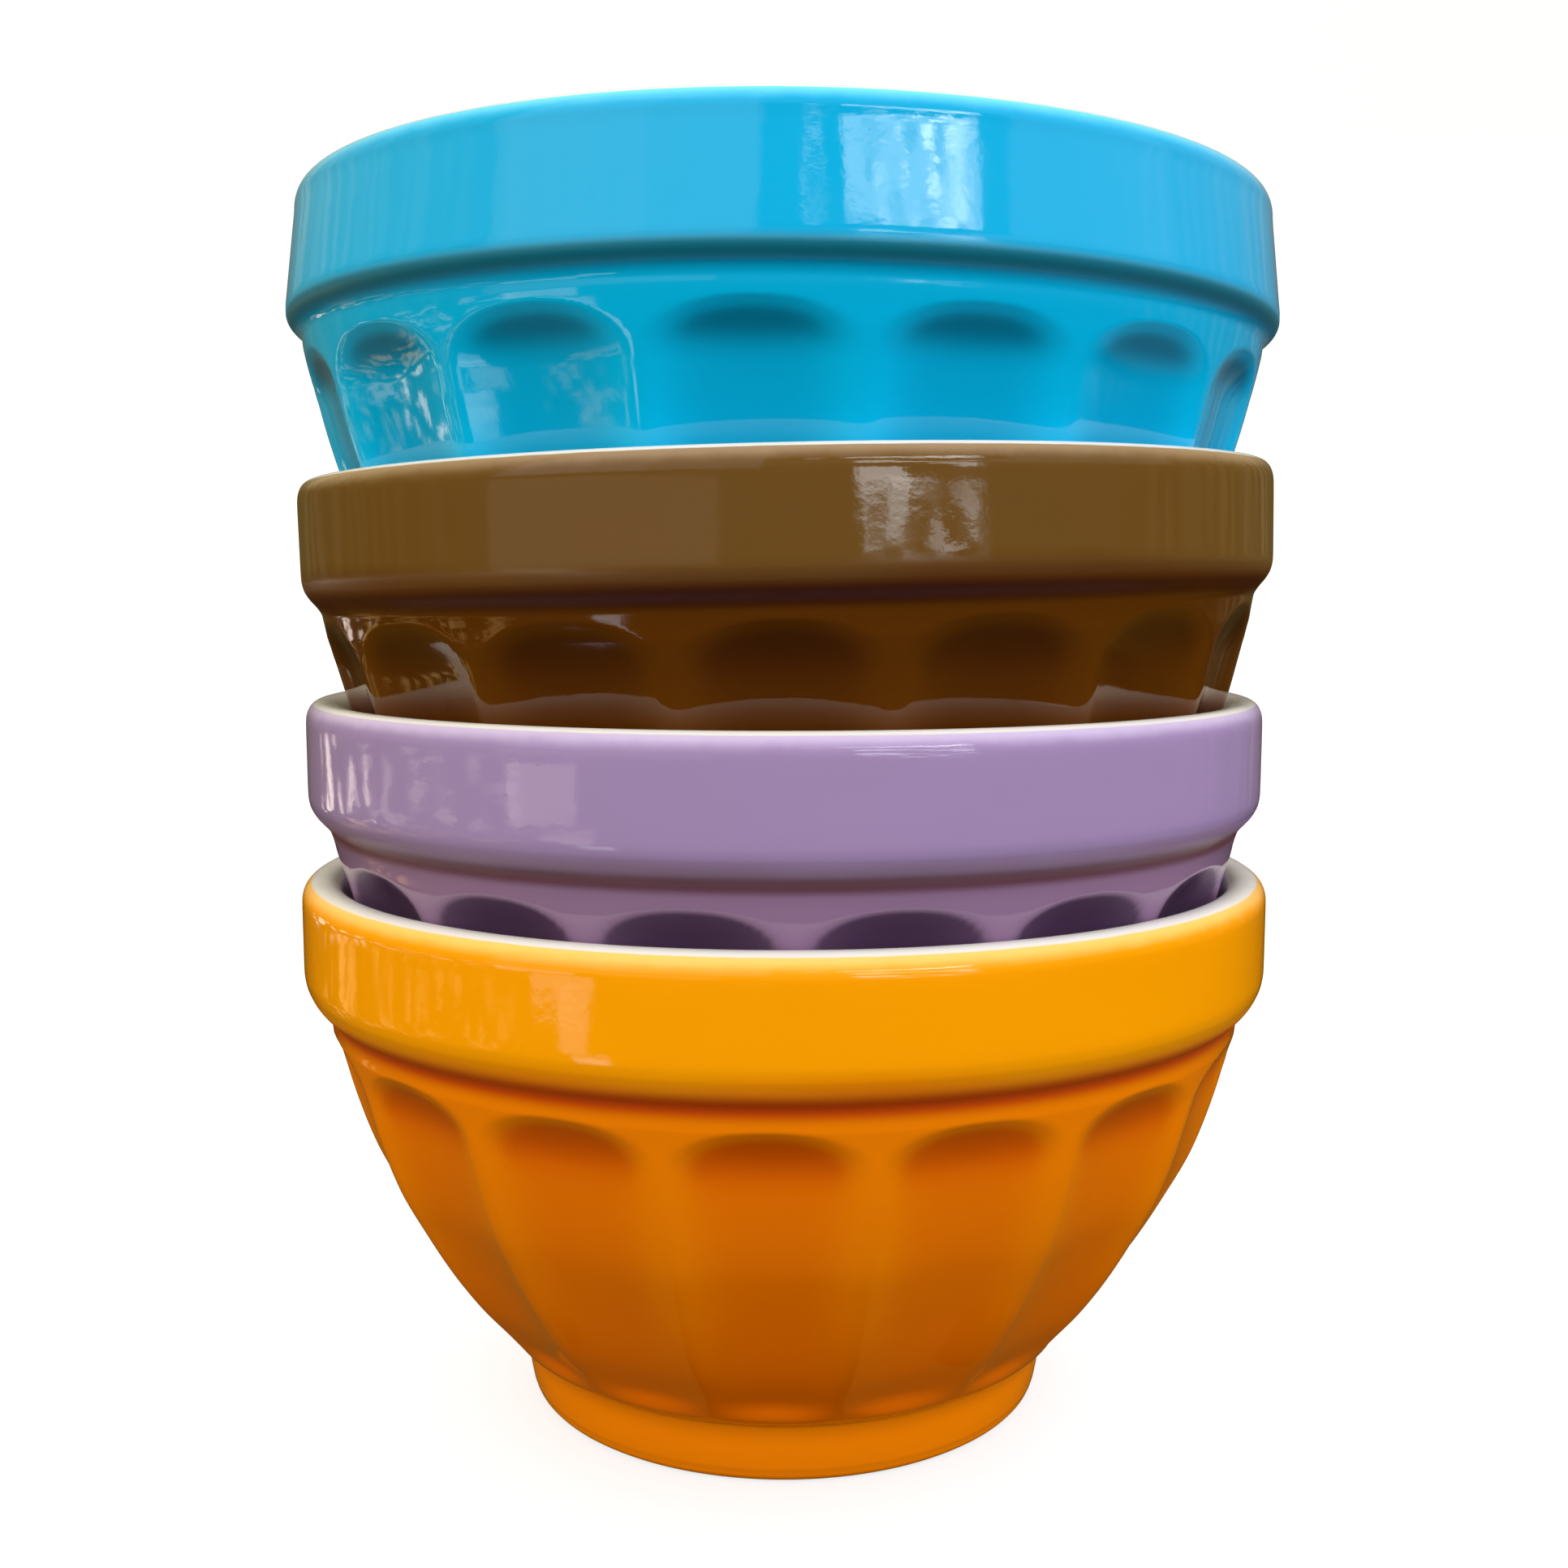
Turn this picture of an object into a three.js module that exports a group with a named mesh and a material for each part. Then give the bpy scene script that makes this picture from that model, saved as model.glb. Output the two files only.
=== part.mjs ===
// A nested stack of four fluted stoneware bowls, in millimetres, +Z up.
// The origin is the centre of the lowest bowl's foot, on the table. -Y is the front.
// Every bowl is one fired piece: a raised rim band with a rounded lip and underside,
// a wall with sixteen scooped flutes, and a foot ring with a shallow recess.
import * as THREE from "three";
import { mergeVertices } from "three/addons/utils/BufferGeometryUtils.js";

// Driving dimensions. Shares are shares of a bowl's own rim radius.
const RIM_RADIUS = 70; // nominal outer radius of the rim band
const FLUTES = 16; // flutes round each bowl
const SEGMENTS = 64; // facets round each bowl, a multiple of FLUTES
const HEIGHT = 1.1221; // highest line of the lip to the table
const FLUTE_DEPTH = 0.034; // how far a flute is scooped into the wall
const FLUTE_SHARE = 0.92; // share of the pitch that a flute takes, the rest is ridge
const FLUTE_ARCH = 0.1; // height of the arched top of a flute
const FOOT_CREASE = 0.9715; // depth of the line between wall and foot
const RECESS_RADIUS = 0.43; // recess under the foot
const RECESS_DEPTH = 0.045;
const DEG = Math.PI / 180;

// Depths below the lip at which the wall is described, and the radius of its
// ridges there. The upper bowls nest because their walls stand steeper the
// higher the bowl sits.
const WALL_DEPTHS = [0.9715, 0.9165, 0.8465, 0.7665, 0.6765, 0.5765, 0.4765, 0.3965, 0.3465, 0.3085];
const WALLS = {
  wide: [0.602, 0.647, 0.706, 0.762, 0.8145, 0.8665, 0.9025, 0.925, 0.9365, 0.946],
  middle: [0.602, 0.648, 0.708, 0.765, 0.82, 0.873, 0.911, 0.933, 0.946, 0.955],
  upright: [0.602, 0.653, 0.722, 0.79, 0.858, 0.912, 0.946, 0.967, 0.979],
};
const FOOT = [[HEIGHT, 0.53], [1.1075, 0.547], [1.06, 0.555], [0.9965, 0.566]];
const INSIDE_DEPTHS = [0.2165, 0.3865, 0.5465, 0.6965, 0.8165, 0.9165, 0.9715, 0.9945];
const INSIDES = {
  wide: [0.881, 0.832, 0.774, 0.698, 0.6, 0.47, 0.32, 0],
  middle: [0.878, 0.836, 0.782, 0.704, 0.603, 0.47, 0.32, 0],
  upright: [0.888, 0.862, 0.822, 0.745, 0.626, 0.478, 0.32, 0],
};

// The four bowls, bottom to top. size: share of the nominal rim radius. under: the
// rounded underside of the rim band, from the wall to the band, as depth and radius.
// crest: radius of the lip's highest line. inner: radius inside the lip. arch: depth of
// the flutes' tops. turn: angle of the first flute from the front. rise: height of the
// lip over the lip of the bowl below. lean and nod: the small tilt with which the loose
// bowls sit (lean lowers +X, nod lowers -Y).
const BOWLS = [
  { name: "bowl_orange", size: 1.0121, wall: "wide", crest: 0.954, inner: 0.909, arch: 0.3055,
    under: [[0.282, 0.95], [0.2605, 0.9595], [0.243, 0.977], [0.22, 0.991], [0.19, 0.999]],
    turn: -1.7, x: 0, rise: 0, lean: 0, nod: 0,
    material: { color: 0xf09b08, roughness: 0.14, metalness: 0 } },
  { name: "bowl_lilac", size: 0.9947, wall: "wide", crest: 0.966, inner: 0.915, arch: 0.3005,
    under: [[0.2685, 0.956], [0.2485, 0.9675], [0.2285, 0.9855], [0.2065, 0.997], [0.18, 1.0]],
    turn: 12.35, x: 0.02, rise: 25.37, lean: 0, nod: 0.2,
    material: { color: 0x9b83b3, roughness: 0.14, metalness: 0 } },
  { name: "bowl_brown", size: 1.0012, wall: "middle", crest: 0.97, inner: 0.902, arch: 0.2775,
    under: [[0.2735, 0.961], [0.2505, 0.9695], [0.2335, 0.984], [0.2135, 0.9955], [0.19, 1.0]],
    turn: -0.7, x: 0.08, rise: 31.82, lean: -1.28, nod: 0,
    material: { color: 0x6b4718, roughness: 0.12, metalness: 0 } },
  { name: "bowl_turquoise", size: 0.9868, wall: "upright", crest: 0.964, inner: 0.91, arch: 0.3235,
    under: [[0.291, 0.9895], [0.275, 0.9995], [0.262, 1.013], [0.249, 1.0185], [0.23, 1.0195]],
    turn: -2.9, x: -0.04, rise: 37.26, lean: 0.48, nod: -0.88,
    material: { color: 0x0ba8dc, roughness: 0.12, metalness: 0 } },
];

// How deep the wall is scooped at a depth and an angle from the front: a round
// channel whose top is closed by an arch, shallower lower down, and that runs out
// just above the foot.
function scoop(depth, angle, spec) {
  const pitch = (2 * Math.PI) / FLUTES;
  let a = (angle - spec.turn * DEG) / pitch;
  a = Math.abs(a - Math.round(a)) * 2; // 0 in the middle of a flute, 1 on a ridge
  const side = a / FLUTE_SHARE;
  const up = Math.max(0, (spec.arch + FLUTE_ARCH - depth) / FLUTE_ARCH);
  const q = side * side + up * up;
  if (q >= 1 || depth > FOOT_CREASE) return 0;
  const fade = 1 - 0.45 * THREE.MathUtils.smoothstep(depth, 0.7165, 0.93);
  const runOut = 1 - THREE.MathUtils.smoothstep(depth, 0.925, FOOT_CREASE + 0.001);
  return FLUTE_DEPTH * fade * runOut * (1 - q);
}

// One bowl: a section turned round Z from the axis back to the axis, then scooped.
function bowl(spec, lip) {
  const R = RIM_RADIUS * spec.size;
  const wall = WALLS[spec.wall].map((r, i) => [WALL_DEPTHS[i], r]);
  const section = [
    [HEIGHT - RECESS_DEPTH, 0], [HEIGHT - RECESS_DEPTH, RECESS_RADIUS - 0.02], [HEIGHT, RECESS_RADIUS],
    ...FOOT,
    ...wall,
    ...spec.under,
    [0.048, 0.9995], [0.02, 0.991], [0.005, 0.976], [0, spec.crest], [0.008, spec.crest - 0.024],
    [0.028, spec.inner + 0.012], [0.0615, spec.inner],
    ...INSIDE_DEPTHS.map((d, i) => [d, INSIDES[spec.wall][i]]),
  ];
  const profile = section.map(([d, r]) => new THREE.Vector2(r * R, -d * R));
  // The first seam runs along a ridge, so that facets meet on the ridges.
  const start = (spec.turn + 180 / FLUTES) * DEG;
  let g = new THREE.LatheGeometry(profile, SEGMENTS, start);
  const p = g.attributes.position;
  const first = 3 + FOOT.length;
  for (let i = 0; i < p.count; i++) {
    const k = i % section.length;
    if (k < first || k >= first + wall.length) continue;
    const x = p.getX(i), z = p.getZ(i), r = Math.hypot(x, z);
    const cut = R * scoop(section[k][0], Math.atan2(x, z), spec);
    p.setX(i, (x * (r - cut)) / r);
    p.setZ(i, (z * (r - cut)) / r);
  }
  g.deleteAttribute("normal");
  g.deleteAttribute("uv");
  g = mergeVertices(g, 1e-4);
  g.rotateX(Math.PI / 2); // the lathe's axis becomes +Z, its +Z the front
  g.computeVertexNormals();
  const mesh = new THREE.Mesh(g, new THREE.MeshStandardMaterial(spec.material));
  mesh.name = spec.name;
  mesh.position.set(spec.x, 0, lip);
  mesh.rotation.set(spec.nod * DEG, spec.lean * DEG, 0);
  return mesh;
}

const stack = new THREE.Group();
let lip = HEIGHT * RIM_RADIUS * BOWLS[0].size; // the lowest foot stands at height 0
for (const spec of BOWLS) {
  lip += spec.rise;
  stack.add(bowl(spec, lip));
}

export default stack;
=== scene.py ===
# Looks of the nested stack of fluted stoneware bowls, in metres, +Z up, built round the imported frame.
import bpy, math
import numpy as np
from mathutils import Vector, Matrix


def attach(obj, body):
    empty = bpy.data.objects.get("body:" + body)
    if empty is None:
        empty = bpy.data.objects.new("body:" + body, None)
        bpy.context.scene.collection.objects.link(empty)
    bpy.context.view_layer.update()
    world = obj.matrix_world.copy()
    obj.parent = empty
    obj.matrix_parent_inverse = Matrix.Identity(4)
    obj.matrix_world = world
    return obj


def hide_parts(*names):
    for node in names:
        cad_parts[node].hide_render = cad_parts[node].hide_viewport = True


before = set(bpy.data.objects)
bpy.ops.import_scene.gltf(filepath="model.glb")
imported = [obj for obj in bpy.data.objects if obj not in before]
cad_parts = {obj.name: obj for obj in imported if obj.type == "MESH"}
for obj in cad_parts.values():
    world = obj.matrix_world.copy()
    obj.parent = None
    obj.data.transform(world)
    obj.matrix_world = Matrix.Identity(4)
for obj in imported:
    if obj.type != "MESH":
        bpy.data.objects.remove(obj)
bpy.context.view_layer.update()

DEG = math.pi / 180
RIM = 0.070                 # nominal rim radius
H = 1.1221                  # lip to table, share of the rim radius
FLUTES = 16
FLUTE_DEPTH = 0.034
FLUTE_SHARE = 0.93
FLUTE_ARCH = 0.10
CREASE = 0.9715
WALL_D = [0.3085, 0.3465, 0.3965, 0.4765, 0.5765, 0.6765, 0.7665, 0.8465, 0.9165, 0.9715]
WALLS = {
    "wide": [0.946, 0.9365, 0.925, 0.9025, 0.8665, 0.8145, 0.762, 0.706, 0.647, 0.602],
    "middle": [0.955, 0.946, 0.933, 0.911, 0.873, 0.82, 0.765, 0.708, 0.648, 0.602],
    "upright": [0.987, 0.979, 0.967, 0.946, 0.912, 0.858, 0.79, 0.722, 0.653, 0.602],
}
IN_D = [0.0615, 0.2165, 0.3865, 0.5465, 0.6965, 0.8165, 0.9165, 0.9715, 0.9945]
INSIDES = {
    "wide": [0.881, 0.832, 0.774, 0.698, 0.6, 0.47, 0.32, 0.0],
    "middle": [0.878, 0.836, 0.782, 0.704, 0.603, 0.47, 0.32, 0.0],
    "upright": [0.888, 0.862, 0.822, 0.745, 0.626, 0.478, 0.32, 0.0],
}
# under: the rounded underside of the rim band, from the band to the wall; dip: depth of its darkest line, painted shade
# with some thicker glaze; the shade under the flutes' arched tops is painted too
BOWLS = [
    dict(name="orange", dip=0.262, dip_width=0.026, arch_shade=0.085, size=1.0121, wall="wide", crest=0.954, inner=0.909, arch=0.3055,
         under=[[0.17, 0.9998], [0.185, 0.9995], [0.205, 0.9965], [0.22, 0.991], [0.232, 0.985], [0.243, 0.977],
                [0.2525, 0.968], [0.2605, 0.9595], [0.27, 0.9535], [0.282, 0.950], [0.295, 0.9475], [0.3085, 0.946]],
         turn=-1.7, x=0.0, rise=0.0, lean=0.0, nod=0.0),
    dict(name="lilac", dip=0.257, dip_width=0.019, arch_shade=0.105, size=0.9947, wall="wide", crest=0.966, inner=0.915, arch=0.3005,
         under=[[0.165, 1.0], [0.19, 0.9995], [0.2065, 0.997], [0.2165, 0.993], [0.2265, 0.987], [0.2365, 0.9785],
                [0.2465, 0.969], [0.2565, 0.961], [0.2685, 0.956], [0.285, 0.951], [0.3085, 0.946]],
         turn=12.35, x=0.02, rise=25.37, lean=0.0, nod=0.2),
    dict(name="brown", dip=0.239, dip_width=0.019, arch_shade=0.080, size=1.0012, wall="middle", crest=0.970, inner=0.902, arch=0.2775,
         under=[[0.175, 1.0], [0.1935, 0.9995], [0.2135, 0.9955], [0.2255, 0.9895], [0.2335, 0.984], [0.2435, 0.9755],
                [0.2535, 0.968], [0.2625, 0.963], [0.2725, 0.961], [0.2885, 0.958], [0.3085, 0.955]],
         turn=-0.7, x=0.08, rise=31.82, lean=-1.28, nod=0.0),
    dict(name="turquoise", dip=0.257, dip_width=0.020, arch_shade=0.042, size=0.9868, wall="upright", crest=0.964, inner=0.910, arch=0.3235,
         under=[[0.23, 1.0195], [0.245, 1.0195], [0.254, 1.0175], [0.262, 1.013], [0.2685, 1.007], [0.275, 0.9995],
                [0.282, 0.9935], [0.291, 0.9895], [0.3055, 0.9875], [0.3465, 0.979]],
         turn=-2.9, x=-0.04, rise=37.26, lean=0.48, nod=-0.88),
]


def srgb(r, g, b):
    def f(c):
        c /= 255
        return c / 12.92 if c <= 0.04045 else ((c + 0.055) / 1.055) ** 2.4
    return (f(r), f(g), f(b), 1.0)


def smooth(a, b, x):
    t = np.clip((x - a) / (b - a), 0, 1)
    return t * t * (3 - 2 * t)


def pchip(xs, ys, x):
    """Monotone cubic through the points xs, ys (rising xs), read at x."""
    xs, ys = np.array(xs, float), np.array(ys, float)
    h, dl = np.diff(xs), np.diff(ys) / np.diff(xs)
    m = np.zeros(len(xs))
    for i in range(1, len(xs) - 1):
        if dl[i - 1] * dl[i] > 0:
            w1, w2 = 2 * h[i] + h[i - 1], h[i] + 2 * h[i - 1]
            m[i] = (w1 + w2) / (w1 / dl[i - 1] + w2 / dl[i])
    m[0], m[-1] = dl[0], dl[-1]
    k = np.clip(np.searchsorted(xs, x) - 1, 0, len(h) - 1)
    t = (x - xs[k]) / h[k]
    return ((1 + 2 * t) * (1 - t) ** 2 * ys[k] + t * (1 - t) ** 2 * h[k] * m[k]
            + t * t * (3 - 2 * t) * ys[k + 1] + t * t * (t - 1) * h[k] * m[k + 1])


def section(spec):
    """The bowl's section from the axis under the foot, up the outside, over the lip and down the inside:
    depth below the lip, radius, how far inside (0 outside, 1 inside), and which points are scooped."""
    P = []

    def add(d, r, zone, wall=0.0):
        P.append((float(d), float(r), float(zone), float(wall)))

    # recess under the foot, a little domed, with a rounded corner
    for r in np.linspace(0, 0.385, 8):
        add(H - 0.042 - 0.006 * (1 - (r / 0.385) ** 2), r, -1)
    for t in np.linspace(0, 1, 5)[1:]:
        a = t * math.pi / 2
        add(H - 0.042 + 0.02 * (1 - math.cos(a)), 0.385 + 0.035 * math.sin(a), -1)
    for t in np.linspace(0, 1, 6):
        a = t * math.pi / 2
        add(H - 0.012 + 0.012 * math.sin(a), 0.425 + 0.018 * (1 - math.cos(a)), -1)
    for r in np.linspace(0.455, 0.515, 4):
        add(H, r, -1)
    for t in np.linspace(0, 1, 7)[1:]:
        a = t * math.pi / 2
        add(H - 0.024 * (1 - math.cos(a)), 0.520 + 0.0265 * math.sin(a), -1 if t < 0.4 else 0)
    # the foot ring, gently waisted
    foot_d = [0.9985, 1.02, 1.06, 1.0985]
    foot_r = [0.5655, 0.5600, 0.5550, 0.5480]
    for d in np.linspace(1.0945, 1.0025, 12):
        add(d, pchip(foot_d, foot_r, d), 0)
    # the crease between foot and wall, and the turn of the wall into it
    for d, r in ((0.9975, 0.5660), (0.9955, 0.5675), (0.9930, 0.5715), (0.9890, 0.5785), (0.9840, 0.5862), (0.9785, 0.5935)):
        add(d, r, 0)
    # the wall, with its scooped flutes, and the rounded underside of the band above them
    wr = WALLS[spec["wall"]]
    ud, ur = [u[0] for u in spec["under"]], [u[1] for u in spec["under"]]
    low = ud[-1]
    for d in np.concatenate([np.linspace(0.9735, 0.48, 36), np.linspace(0.47, low + 0.004, 36)]):
        add(d, pchip(WALL_D, wr, d), 0, 1.0)
    edge = ur[0]
    for d in np.linspace(low, ud[0], 40):
        add(d, pchip(ud, ur, d), 0, 1.0)
    # the band, which may widen a little downwards
    for d in np.linspace(ud[0] - 0.01, 0.06, 12):
        add(d, 1 + (edge - 1) * (d - 0.05) / (ud[0] - 0.05), 0)
    # the rounded lip, from the band over the crest to the inner wall
    inner, crest, top = spec["inner"], spec["crest"], 0.9998
    for t in np.linspace(0, 1, 19):
        a = t * math.pi / 2
        d = 0.046 * (1 - math.sin(a) ** 0.87)
        add(d, crest + (top - crest) * math.cos(a) ** 0.87, 0.5 - 0.5 * smooth(0.0004, 0.011, d) if t < 1 else 0.5)
    for t in np.linspace(0, 1, 15)[1:]:
        a = t * math.pi / 2
        add(0.0615 * (1 - math.cos(a)), crest - (crest - inner) * math.sin(a) ** 0.9, 0.5 + 0.5 * t)
    ri = [inner] + INSIDES[spec["wall"]]
    for d in np.linspace(0.0735, 0.8765, 34):
        add(d, pchip(IN_D, ri, d), 1)
    # the floor, from the wall to the axis
    rs = pchip(IN_D, ri, np.array([0.8865]))[0]
    for t in np.linspace(0, 1, 18):
        r = rs * (1 - t)
        ds = np.linspace(0.8765, 0.9945, 200)
        rr = pchip(IN_D, ri, ds)
        add(np.interp(-r, -rr, ds), r, 1)
    return np.array(P)


def scoop(d, ang, spec):
    """Depth of the flutes at depth d and angle ang from the front, a share of the rim radius."""
    pitch = 2 * math.pi / FLUTES
    a = (ang - spec["turn"] * DEG) / pitch
    a = np.abs(a - np.round(a)) * 2
    side = a / FLUTE_SHARE
    up = np.clip((spec["arch"] + FLUTE_ARCH - d) / FLUTE_ARCH, 0, None)
    n = 2.3
    q = (side ** n + up ** n) ** (2 / n)
    x = 1 - q
    x = 0.5 * (x + np.sqrt(x * x + 0.0012))
    x = np.clip(x - 0.001, 0, None)
    fade = 1 - 0.45 * smooth(0.7165, 0.93, d)
    # the flutes run out softly just above the foot
    return FLUTE_DEPTH * fade * x * smooth(CREASE + 0.001, 0.925, d)


def make_bowl(spec, lip):
    P = section(spec)
    seg = FLUTES * 24
    n = len(P)
    th = (spec["turn"] + 180 / FLUTES) * DEG + np.arange(seg) * 2 * math.pi / seg
    D, R0, Z, W = [P[:, i] for i in range(4)]
    d = D[:, None] + 0 * th[None, :]
    cut = scoop(d, th[None, :] + 0 * d, spec) * (W[:, None] > 0)
    r = R0[:, None] - cut
    S = RIM * spec["size"]
    x, y, z = S * r * np.sin(th), -S * r * np.cos(th), -S * d
    # axis rows collapse to one vertex each
    verts, rows = [], []
    att = {"depth": [], "inside": [], "cut": [], "dip": [], "soft": [], "arch_shade": []}
    # painted shade: a mask darkest just under the flutes' arched tops, where they face down, and a line of painted
    # shade under the band
    low = d - spec["arch"] - 0.026
    crisp, above = (0.25, 0.085) if spec["name"] == "lilac" else (0.60, 0.045)
    arch_shade = np.exp(-(low / np.where(low > 0, spec["arch_shade"], above)) ** 2) * smooth(0.02, crisp, cut / FLUTE_DEPTH)
    # painted shade, with some thicker glaze: the darkest line under the band
    dip = np.exp(-((D - spec["dip"]) / spec["dip_width"]) ** 2) * (np.array(Z) == 0)
    shift, wide = (0.0, 0.019) if spec["name"] == "turquoise" else (0.014, 0.032)
    soft = np.exp(-((D - spec["dip"] + shift) / wide) ** 2) * (np.array(Z) == 0)
    for i in range(n):
        if R0[i] < 1e-6:
            rows.append([len(verts)] * seg)
            verts.append((0, 0, z[i, 0]))
            att["depth"].append(D[i]); att["inside"].append(Z[i]); att["cut"].append(0); att["dip"].append(0); att["soft"].append(0); att["arch_shade"].append(0)
        else:
            rows.append(list(range(len(verts), len(verts) + seg)))
            verts += list(zip(x[i], y[i], z[i]))
            att["depth"] += list(d[i]); att["inside"] += [Z[i]] * seg; att["cut"] += list(cut[i] / FLUTE_DEPTH); att["dip"] += [dip[i]] * seg; att["soft"] += [soft[i]] * seg; att["arch_shade"] += list(arch_shade[i])
    faces = []
    for i in range(n - 1):
        a, b = rows[i], rows[i + 1]
        for j in range(seg):
            k = (j + 1) % seg
            f = [a[j], a[k], b[k], b[j]]
            u = []
            for v in f:
                if v not in u:
                    u.append(v)
            if len(u) > 2:
                faces.append(u)
    me = bpy.data.meshes.new(spec["name"] + "_glazed_bowl")
    V = np.array(verts)
    rx, ry = spec["nod"] * DEG, spec["lean"] * DEG
    M = Matrix.Translation((spec["x"] / 1000, 0, lip)) @ Matrix.Rotation(rx, 4, "X") @ Matrix.Rotation(ry, 4, "Y")
    A = np.array(M)
    V = V @ A[:3, :3].T + A[:3, 3]
    me.from_pydata(V.tolist(), [], faces)
    me.update()
    for k, vals in att.items():
        at = me.attributes.new(k, "FLOAT", "POINT")
        at.data.foreach_set("value", np.array(vals, np.float32))
    me.shade_smooth()
    ob = bpy.data.objects.new(spec["name"] + "_glazed_bowl", me)
    bpy.context.scene.collection.objects.link(ob)
    return ob


# ---------------------------------------------------------------- materials
def node(nt, kind, **kw):
    nd = nt.nodes.new(kind)
    for k, v in kw.items():
        setattr(nd, k, v)
    return nd


def glaze(name, band, wall, low, pooled_and_shaded, top_shade, groove_glaze_and_shade, thin_glaze_and_highlight, start, white=(221, 219, 216)):
    """Glossy coloured glaze outside, with painted shade in its flutes and under its band and a painted highlight on its
    lip, white glaze inside, bare stoneware under the foot.
    """
    m = bpy.data.materials.new(name)
    m.use_nodes = True
    nt = m.node_tree
    nt.nodes.clear()
    L = nt.links.new
    out = node(nt, "ShaderNodeOutputMaterial")
    bs = node(nt, "ShaderNodeBsdfPrincipled")
    L(bs.outputs[0], out.inputs[0])
    co = node(nt, "ShaderNodeTexCoord")
    dep = node(nt, "ShaderNodeAttribute", attribute_name="depth")
    ins = node(nt, "ShaderNodeAttribute", attribute_name="inside")
    cut = node(nt, "ShaderNodeAttribute", attribute_name="cut")
    dip = node(nt, "ShaderNodeAttribute", attribute_name="dip")
    arch_shade = node(nt, "ShaderNodeAttribute", attribute_name="arch_shade")
    soft = node(nt, "ShaderNodeAttribute", attribute_name="soft")

    def noise(scale, detail, rough=0.5):
        t = node(nt, "ShaderNodeTexNoise")
        t.inputs["Scale"].default_value = scale
        t.inputs["Detail"].default_value = detail
        t.inputs["Roughness"].default_value = rough
        L(co.outputs["Object"], t.inputs["Vector"])
        return t.outputs["Fac"]

    def math_(op, a, b, clamp=False):
        t = node(nt, "ShaderNodeMath", operation=op, use_clamp=clamp)
        for i, v in enumerate((a, b)):
            if isinstance(v, (int, float)):
                t.inputs[i].default_value = v
            else:
                L(v, t.inputs[i])
        return t.outputs[0]

    def ramp(v, a, b, lo=0.0, hi=1.0):
        t = node(nt, "ShaderNodeMapRange", interpolation_type="SMOOTHSTEP")
        t.inputs["From Min"].default_value = a
        t.inputs["From Max"].default_value = b
        t.inputs["To Min"].default_value = lo
        t.inputs["To Max"].default_value = hi
        L(v, t.inputs["Value"])
        return t.outputs[0]

    def mix(f, a, b):
        t = node(nt, "ShaderNodeMix", data_type="RGBA")
        for s, v in (("Factor", f), ("A", a), ("B", b)):
            sock = [i for i in t.inputs if i.name == s and (i.type == "RGBA" or s == "Factor" and i.type == "VALUE")][0]
            if isinstance(v, tuple):
                sock.default_value = v
            elif isinstance(v, (int, float)):
                sock.default_value = v
            else:
                L(v, sock)
        return [o for o in t.outputs if o.type == "RGBA"][0]

    # the glaze runs thicker, so deeper in colour, from the band down the wall; the darker colour toward the bottom of
    # the wall is painted shade
    broad, fine = noise(22, 3), noise(260, 4, 0.6)
    drift = math_("MULTIPLY", math_("SUBTRACT", broad, 0.5), 0.10)
    run = math_("ADD", dep.outputs["Fac"], drift)
    body = mix(ramp(run, start - 0.03, start + 0.03), srgb(*band), srgb(*wall))
    # painted shade: darker toward the bottom of the wall, where it turns under
    body = mix(ramp(run, 0.55, 0.93), body, srgb(*low))
    body = mix(ramp(dep.outputs["Fac"], 0.955, 1.0), body, srgb(*wall))
    # darker in the flutes, partly glaze pooling and partly painted shade; painted shade under the flutes' arched tops
    # and in the hollow under the band, where the glaze also gathers; lighter on the ridges and the lip, where the glaze
    # thins, with a painted highlight along the lip's rounded edge
    # painted shade, partly glaze pooling: darker the deeper the flute is cut
    body = mix(ramp(cut.outputs["Fac"], 0.05, 0.95, 0.0, 0.55), body, srgb(*pooled_and_shaded))
    # painted shade under the flutes' arched tops
    body = mix(ramp(arch_shade.outputs["Fac"], 0.0, 1.0, 0.0, 0.75), body, srgb(*top_shade))
    # painted shade, partly thicker glaze, along the line under the band
    body = mix(ramp(dip.outputs["Fac"], 0.15, 1.0, 0.0, 0.9), body, srgb(*groove_glaze_and_shade))
    wob = math_("MULTIPLY", math_("SUBTRACT", fine, 0.5), 0.010)
    dd = math_("ADD", dep.outputs["Fac"], wob)
    # painted highlight with thinner glaze: paler along the lip's rounded edge
    lip = ramp(dd, 0.032, 0.006, 0.0, 0.7)
    body = mix(lip, body, srgb(*thin_glaze_and_highlight))
    inner = ramp(math_("ADD", ins.outputs["Fac"], math_("MULTIPLY", math_("SUBTRACT", fine, 0.5), 0.12)), 0.10, 0.30)
    col = mix(inner, body, srgb(*white))
    bare = ramp(ins.outputs["Fac"], -0.45, -0.55)
    spk = ramp(noise(900, 2), 0.35, 0.75)
    clay = mix(spk, srgb(214, 200, 178), srgb(176, 158, 134))
    col = mix(bare, col, clay)
    L(col, bs.inputs["Base Color"])
    gl = ramp(noise(120, 3), 0.3, 0.7, 0.04, 0.075)
    gl = math_("ADD", gl, ramp(soft.outputs["Fac"], 0.05, 0.8, 0.0, 0.36))
    t = node(nt, "ShaderNodeMix", data_type="FLOAT")
    L(bare, t.inputs[0]); L(gl, t.inputs[2]); t.inputs[3].default_value = 0.75
    L(t.outputs[0], bs.inputs["Roughness"])
    bs.inputs["IOR"].default_value = 1.5
    b1 = node(nt, "ShaderNodeBump")
    b1.inputs["Strength"].default_value = 0.5
    b1.inputs["Distance"].default_value = 0.0006
    L(noise(38, 2), b1.inputs["Height"])
    b2 = node(nt, "ShaderNodeBump")
    b2.inputs["Strength"].default_value = 0.25
    b2.inputs["Distance"].default_value = 0.00006
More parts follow.
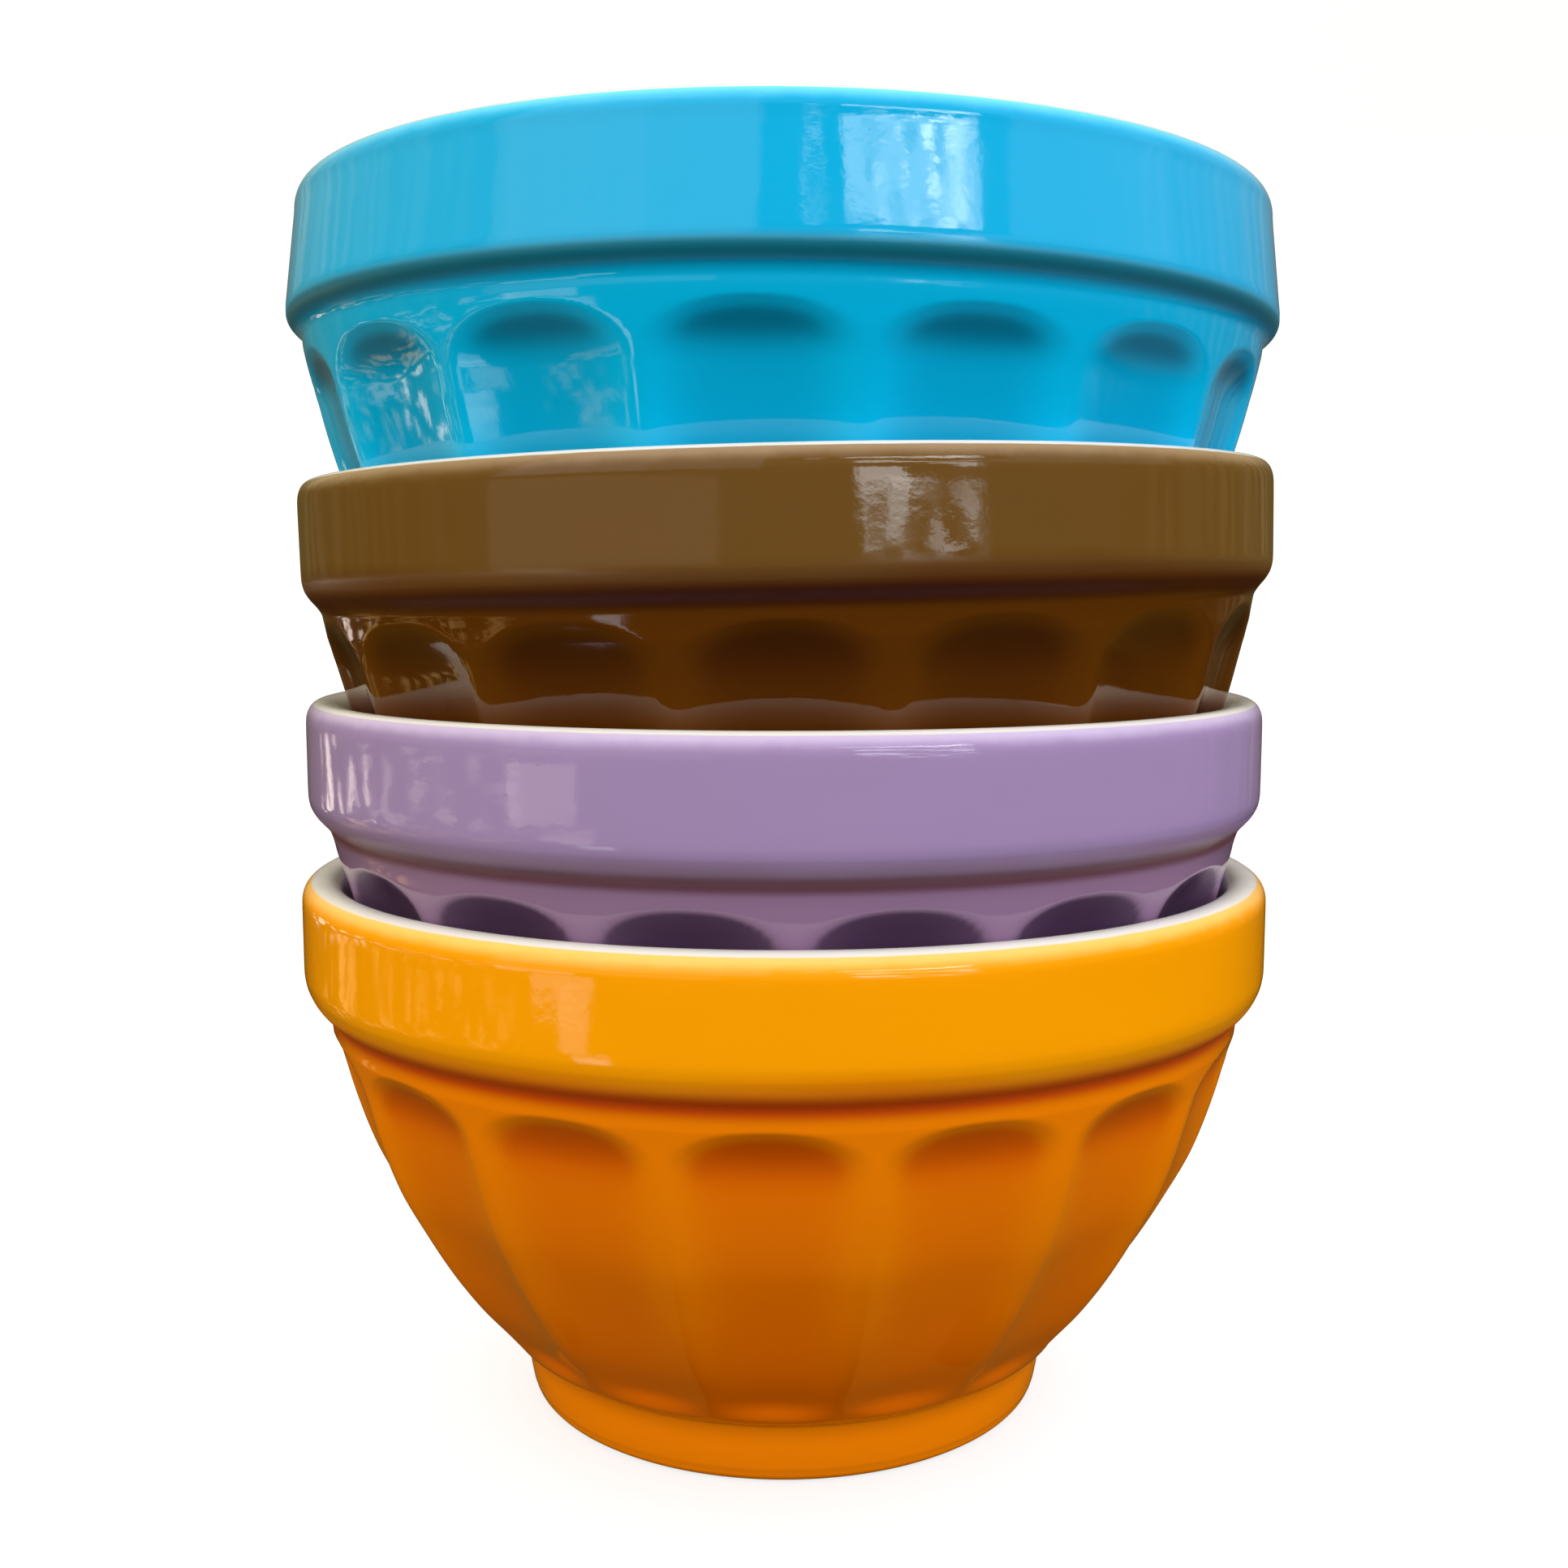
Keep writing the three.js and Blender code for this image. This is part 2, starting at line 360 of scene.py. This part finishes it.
    L(noise(520, 3), b2.inputs["Height"])
    L(b1.outputs[0], b2.inputs["Normal"])
    L(b2.outputs[0], bs.inputs["Normal"])
    return m


GLAZES = {
    "orange": glaze("orange_glaze", (246, 157, 0), (245, 131, 0), (238, 112, 0), (236, 110, 0), (208, 76, 0),
                    (208, 66, 0), (252, 205, 120), 0.224),
    "lilac": glaze("lilac_glaze", (157, 134, 180), (142, 112, 148), (136, 108, 152), (84, 56, 96), (60, 38, 68),
                   (96, 50, 66), (206, 192, 228), 0.238),
    "brown": glaze("brown_glaze", (105, 73, 27), (90, 48, 4), (90, 48, 6), (74, 36, 3), (66, 30, 4),
                   (62, 8, 0), (166, 140, 110), 0.195),
    "turquoise": glaze("turquoise_glaze", (0, 172, 226), (0, 184, 236), (0, 174, 222), (0, 150, 197), (0, 102, 134),
                       (0, 108, 128), (110, 214, 244), 0.285),
}

lip = H * RIM * BOWLS[0]["size"]
for spec in BOWLS:
    lip += spec["rise"] / 1000
    ob = make_bowl(spec, lip)
    ob.data.materials.append(GLAZES[spec["name"]])
    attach(ob, spec["name"])
    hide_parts("bowl_" + spec["name"])

# ---------------------------------------------------------------- stage
def make_stage():
    prof = [(0.0, 0.0)] + [(r, 0.0) for r in np.linspace(0.1, 1.2, 12)]
    for t in np.linspace(0, 1, 16)[1:]:
        a = t * math.pi / 2
        prof.append((1.2 + 0.6 * math.sin(a), 0.6 * (1 - math.cos(a))))
    prof += [(1.8, 1.2), (1.8, 2.6)]
    seg = 96
    verts = [(0, 0, 0)]
    faces = []
    for r, z in prof[1:]:
        verts += [(r * math.cos(2 * math.pi * j / seg), r * math.sin(2 * math.pi * j / seg), z) for j in range(seg)]
    for j in range(seg):
        faces.append([0, 1 + j, 1 + (j + 1) % seg])
    for i in range(len(prof) - 2):
        for j in range(seg):
            a, b = 1 + i * seg, 1 + (i + 1) * seg
            k = (j + 1) % seg
            faces.append([a + j, b + j, b + k, a + k])
    me = bpy.data.meshes.new("studio_floor")
    me.from_pydata(verts, [], faces)
    me.shade_smooth()
    ob = bpy.data.objects.new("studio_floor", me)
    bpy.context.scene.collection.objects.link(ob)
    m = bpy.data.materials.new("studio_white")
    m.use_nodes = True
    nt = m.node_tree
    bs = nt.nodes["Principled BSDF"]
    bs.inputs["Base Color"].default_value = (0.29, 0.295, 0.305, 1)
    bs.inputs["Roughness"].default_value = 1.0
    bs.inputs["Specular IOR Level"].default_value = 0.0
    bs.inputs["Emission Color"].default_value = (1, 1, 1, 1)
    bs.inputs["Emission Strength"].default_value = 0.72
    me.materials.append(m)
    ob.visible_diffuse = False
    ob.visible_glossy = False
    ob.visible_shadow = False
    return ob


make_stage()

# ---------------------------------------------------------------- light
# An even sky over a dark ground lights the glazes; a far dome that only their gloss sees carries the reflections.
w = bpy.data.worlds.new("overcast")
bpy.context.scene.world = w
w.use_nodes = True
nt = w.node_tree
bg = nt.nodes["Background"]
tc = nt.nodes.new("ShaderNodeTexCoord")
sp = nt.nodes.new("ShaderNodeSeparateXYZ")
mr = nt.nodes.new("ShaderNodeMapRange")
mr.interpolation_type = "SMOOTHSTEP"
for k, v in (("From Min", -0.12), ("From Max", 0.16), ("To Min", 0.07), ("To Max", 2.05)):
    mr.inputs[k].default_value = v
nt.links.new(tc.outputs["Generated"], sp.inputs[0])
nt.links.new(sp.outputs["Z"], mr.inputs["Value"])
nt.links.new(mr.outputs[0], bg.inputs["Strength"])
mx = nt.nodes.new("ShaderNodeMapRange")
mx.interpolation_type = "SMOOTHSTEP"
for k, v in (("From Min", -0.15), ("From Max", -0.95), ("To Min", 0.0), ("To Max", 1.0)):
    mx.inputs[k].default_value = v
nt.links.new(sp.outputs["X"], mx.inputs["Value"])
cm = nt.nodes.new("ShaderNodeMix")
cm.data_type = "RGBA"
ca = [i for i in cm.inputs if i.type == "RGBA"]
ca[0].default_value = (1.015, 1.0, 0.985, 1)
ca[1].default_value = (0.92, 0.83, 0.56, 1)
nt.links.new(mx.outputs[0], [i for i in cm.inputs if i.name == "Factor" and i.type == "VALUE"][0])
nt.links.new([o for o in cm.outputs if o.type == "RGBA"][0], bg.inputs["Color"])
w.cycles_visibility.glossy = False


def box(v, a, b, soft):
    """1 between a and b, with soft edges."""
    return smooth(a - soft, a + soft, v) * (1 - smooth(b - soft, b + soft, v))


def dome():
    """Radiance of the surroundings: azimuth from the front (+ to the right) and elevation, in degrees."""
    az, el = np.meshgrid(np.arange(-180, 180, 0.5), np.concatenate([
        np.arange(-70, -20, 1.0), np.arange(-20, 30, 0.1667), np.arange(30, 88.1, 1.0)]))
    rng = np.random.RandomState(4)
    ph = rng.uniform(0, 2 * math.pi, 24)
    fr = rng.uniform(3, 40, 24)

    def streaks(k0, k1, bend=0.0):
        v = 0 * az
        for i in range(k0, k1):
            v = v + np.sin(fr[i] * (az + bend * np.sin(el / 3.1 + ph[i])) * DEG * 3 + ph[i])
        return smooth(0.25, 0.95, 0.5 + 0.5 * v / (k1 - k0) * 1.6)

    warm, cool = np.array([1.0, 0.84, 0.72]), np.array([0.93, 0.99, 1.0])
    leafy = np.array([0.80, 0.84, 0.50])
    # ground, dim and warm; above it walls and sky; browner to the sides and behind
    side = smooth(50, 95, np.abs(az))
    tint = warm + (np.array([0.85, 0.62, 0.20]) - warm) * side[..., None]
    C = (0.025 + 0.10 * smooth(-14, 2, el) + 0.28 * smooth(8, 24, el) + 0.5 * smooth(40, 70, el))[..., None] * tint
    C += (side * 0.13 * smooth(-15, -22, el))[..., None] * np.array([1.0, 0.50, 0.05])
    C += (side * 0.10 * smooth(4, 20, el))[..., None] * leafy

    def blotch(k, scale):
        v = 0 * az
        for i in range(k, k + 6):
            c1, c2 = math.cos(ph[i] * 3), math.sin(ph[i] * 3)
            v = v + np.sin((c1 * az * 0.17 + c2 * el) * scale * (0.6 + 0.16 * (i - k)) + ph[i] * 5)
        return v / 3

    def put(v, tint):
        nonlocal C
        C = C + np.clip(v, 0, None)[..., None] * tint

    # a pale wall to the left, darker where it is cut by doors
    put(0.50 * box(az, -66, -5, 1.0) * box(el, 9, 60, 1.0), cool)
    put(0.25 * box(az, -63, -30, 0.6) * box(el, 9, 60, 1.0) * (0.6 + 0.4 * streaks(10, 17)), cool)
    # clear sky to the right
    put(0.30 * box(az, 43, 96, 3.0) * box(el, 12, 60, 2.0), np.array([0.75, 1.0, 1.05]))
    put(0.42 * box(az, -67, -14, 0.6) * box(el, -3.5, 5.2, 0.5), warm)
    put(1.7 * box(az, -64, -46, 0.5) * box(el, -9.4, -4.6, 0.4), warm)
    put(1.5 * box(az, -56, -42, 0.5) * box(el, -13.0, -10.4, 0.4), warm)
    put(1.5 * box(az, -50, -43, 0.5) * box(el, -16.4, -12.5, 0.4), warm)
    # a narrow glass door, low down
    put(2.8 * box(az, -47, -39, 0.5) * box(el, -26, -17, 0.6) * (0.5 + 0.5 * smooth(-0.3, 0.3, blotch(3, 1.6))), cool)
    # a bright window, its middle and lower edge broken by leaves
    C *= (1 - 0.75 * box(az, -4.5, 51, 1.0) * box(el, 20, 30, 1.0))[..., None]
    left = box(az, 4.2, 7.6, 0.4) * smooth(-0.2, 0.3, blotch(0, 4.5)) * box(el, 22.4, 28.8, 0.15)
    right = box(az, 12.5, 44, 0.4) * smooth(-0.1, 0.1, el - (25.0 + 0.45 * blotch(9, 4.5) - 1.7 * smooth(18, 32, az))) * box(el, 20, 28.9, 0.15)
    twig = smooth(0.45, 0.75, blotch(12, 5.5))
    glint = smooth(0.35, 0.6, blotch(5, 6.5) - 0.5 + 0.75 * box(az, 30, 43, 3.0)) * box(el, 22.6, 28.4, 0.2)
    put(2.2 * left * (1 - 0.9 * twig), cool)
    put(4.7 * right * (1 - 0.6 * twig), cool)
    put(9.0 * glint * box(az, 8, 44, 1.0), np.array([1.0, 1.0, 0.92]))
    # light broken by leaves, low to the right
    put(0.8 * box(az, 16, 43, 1.5) * box(el, -3.2, 5.3, 0.4) * smooth(-0.3, 0.5, blotch(2, 2.5)), cool)
    put(3.0 * box(az, 17, 42, 1.0) * box(el, -2.2, 5.2, 0.5) * smooth(0.40, 0.65, blotch(2, 3.2) + 0.35 * smooth(-2, 5, el)), cool)
    put(5.0 * box(az, 15, 42, 1.0) * box(el, 4.2, 19, 0.8) * smooth(0.1, 0.4, blotch(10, 1.2)), cool)
    # streaks of light behind, to the left and less to the right
    back = box(az, -146, -74, 3.0)
    put(3.0 * box(az, -138, -108, 1.5) * smooth(0.35, 0.75, streaks(14, 20, 3.0)) * smooth(-0.6, 0.3, blotch(8, 2.0)) * box(el, -10.5, -3.5, 1.0), warm)
    put(1.5 * box(az, -112, -60, 3.0) * smooth(0.15, 0.6, blotch(4, 3.5)) * box(el, -9.5, -3.8, 0.6), warm)
    put(1.5 * box(az, -132, -60, 3.0) * smooth(0.1, 0.9, streaks(7, 13, 5.0) * (0.75 + 0.5 * blotch(6, 2.2))) * box(el, -21, -10.5, 1.0), np.array([1.0, 0.62, 0.20]))
    put(0.10 * back * streaks(18, 24, 1.0) * box(el, -3.0, 9, 1.0), leafy)
    put(0.30 * back * streaks(5, 11, 1.0) * box(el, 9, 40, 2.0), leafy)
    put(0.16 * box(az, 84, 150, 6.0) * streaks(10, 16, 1.0) * box(el, -8, 30, 4.0), np.array([0.95, 0.8, 0.5]))
    R = 6.0
    a, e = az * DEG, el * DEG
    V = np.stack([R * np.sin(a) * np.cos(e), -R * np.cos(a) * np.cos(e), 0.09 + R * np.sin(e)], -1).reshape(-1, 3)
    ne, na = az.shape
    i, j = np.meshgrid(np.arange(ne - 1), np.arange(na), indexing="ij")
    k = (j + 1) % na
    F = np.stack([i * na + j, (i + 1) * na + j, (i + 1) * na + k, i * na + k], -1).reshape(-1, 4)
    me = bpy.data.meshes.new("surroundings")
    me.vertices.add(len(V))
    me.vertices.foreach_set("co", V.astype(np.float32).ravel())
    me.loops.add(F.size)
    me.loops.foreach_set("vertex_index", F.astype(np.int32).ravel())
    me.polygons.add(len(F))
    me.polygons.foreach_set("loop_start", (np.arange(len(F)) * 4).astype(np.int32))
    me.update(calc_edges=True)
    at = me.attributes.new("light", "FLOAT_VECTOR", "POINT")
    at.data.foreach_set("vector", C.reshape(-1, 3).astype(np.float32).ravel())
    ob = bpy.data.objects.new("surroundings", me)
    bpy.context.scene.collection.objects.link(ob)
    m = bpy.data.materials.new("surroundings")
    m.use_nodes = True
    nt = m.node_tree
    nt.nodes.clear()
    out, em = nt.nodes.new("ShaderNodeOutputMaterial"), nt.nodes.new("ShaderNodeEmission")
    a = nt.nodes.new("ShaderNodeAttribute")
    a.attribute_name = "light"
    nt.links.new(a.outputs["Vector"], em.inputs["Color"])
    nt.links.new(em.outputs[0], out.inputs[0])
    m.cycles.emission_sampling = "NONE"
    me.materials.append(m)
    ob.visible_camera = ob.visible_diffuse = ob.visible_shadow = ob.visible_transmission = False


dome()

# ---------------------------------------------------------------- camera
cam = bpy.data.cameras.new("camera")
cam.sensor_width = 36
cam.lens = 2183 / 1932 * 36
cam.clip_start, cam.clip_end = 0.01, 20
co = bpy.data.objects.new("camera", cam)
co.location = (0, -3.8074 * RIM, 0.12077)
co.rotation_euler = ((90 - 6.349) * DEG, 0, 0)
bpy.context.scene.collection.objects.link(co)
bpy.context.scene.camera = co
bpy.context.scene.view_settings.view_transform = "Standard"
bpy.context.scene.view_settings.look = "None"

bpy.context.view_layer.update()
